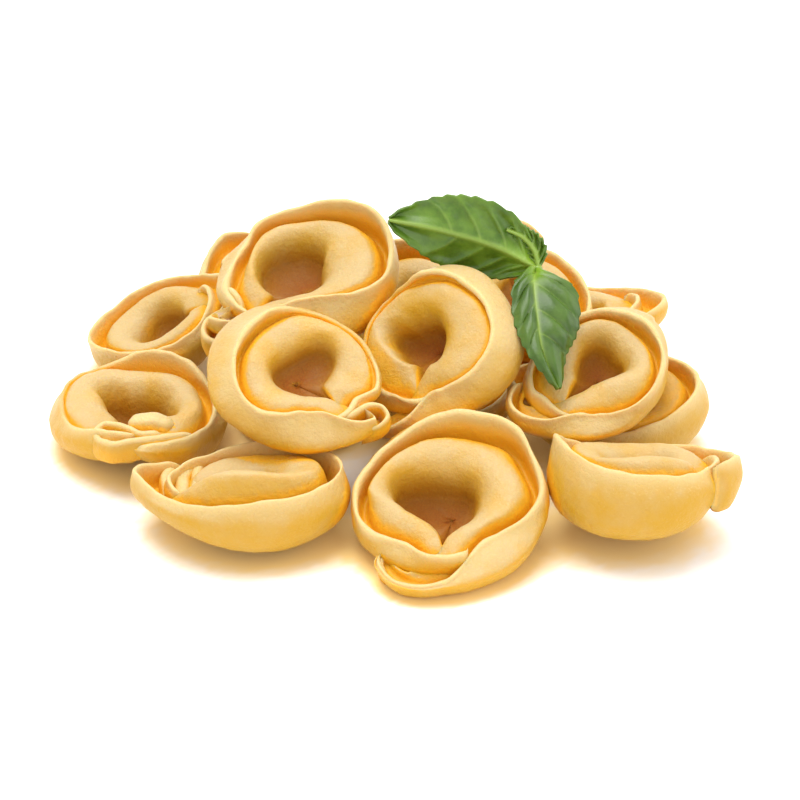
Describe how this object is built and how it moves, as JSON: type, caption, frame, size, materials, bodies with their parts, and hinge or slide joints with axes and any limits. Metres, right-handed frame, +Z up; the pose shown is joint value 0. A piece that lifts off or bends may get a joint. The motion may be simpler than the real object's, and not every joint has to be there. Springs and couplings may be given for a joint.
{
  "type": "heap of tortellini",
  "caption": "Low heap of cooked ring-shaped filled pasta, each ring with a folded collar and a knot where its ends lap over, with a small sprig of basil lying on top.",
  "frame": {"origin": "centre of the heap's footprint, on the surface it lies on", "axes": "+X along the width of the heap, to the right as seen from the front; +Z up; the front of the heap faces -Y"},
  "size_m": [0.1276, 0.1192, 0.0455],
  "materials": {
    "pasta": "satin",
    "basil": "satin"
  },
  "bodies": {
    "root": {"tortellino_floor_front": "pasta", "tortellino_floor_left": "pasta", "tortellino_floor_right": "pasta", "tortellino_floor_far_left": "pasta", "tortellino_floor_far_right": "pasta", "tortellino_floor_middle": "pasta", "tortellino_floor_inner_left": "pasta", "tortellino_floor_back_left": "pasta", "tortellino_floor_back_right": "pasta", "tortellino_upper_right": "pasta", "tortellino_upper_middle": "pasta", "tortellino_upper_left": "pasta", "tortellino_top": "pasta", "tortellino_rear_right": "pasta", "tortellino_rear_left": "pasta", "tortellino_rear_middle": "pasta", "basil_sprig": "basil"}
  },
  "joints": []
}
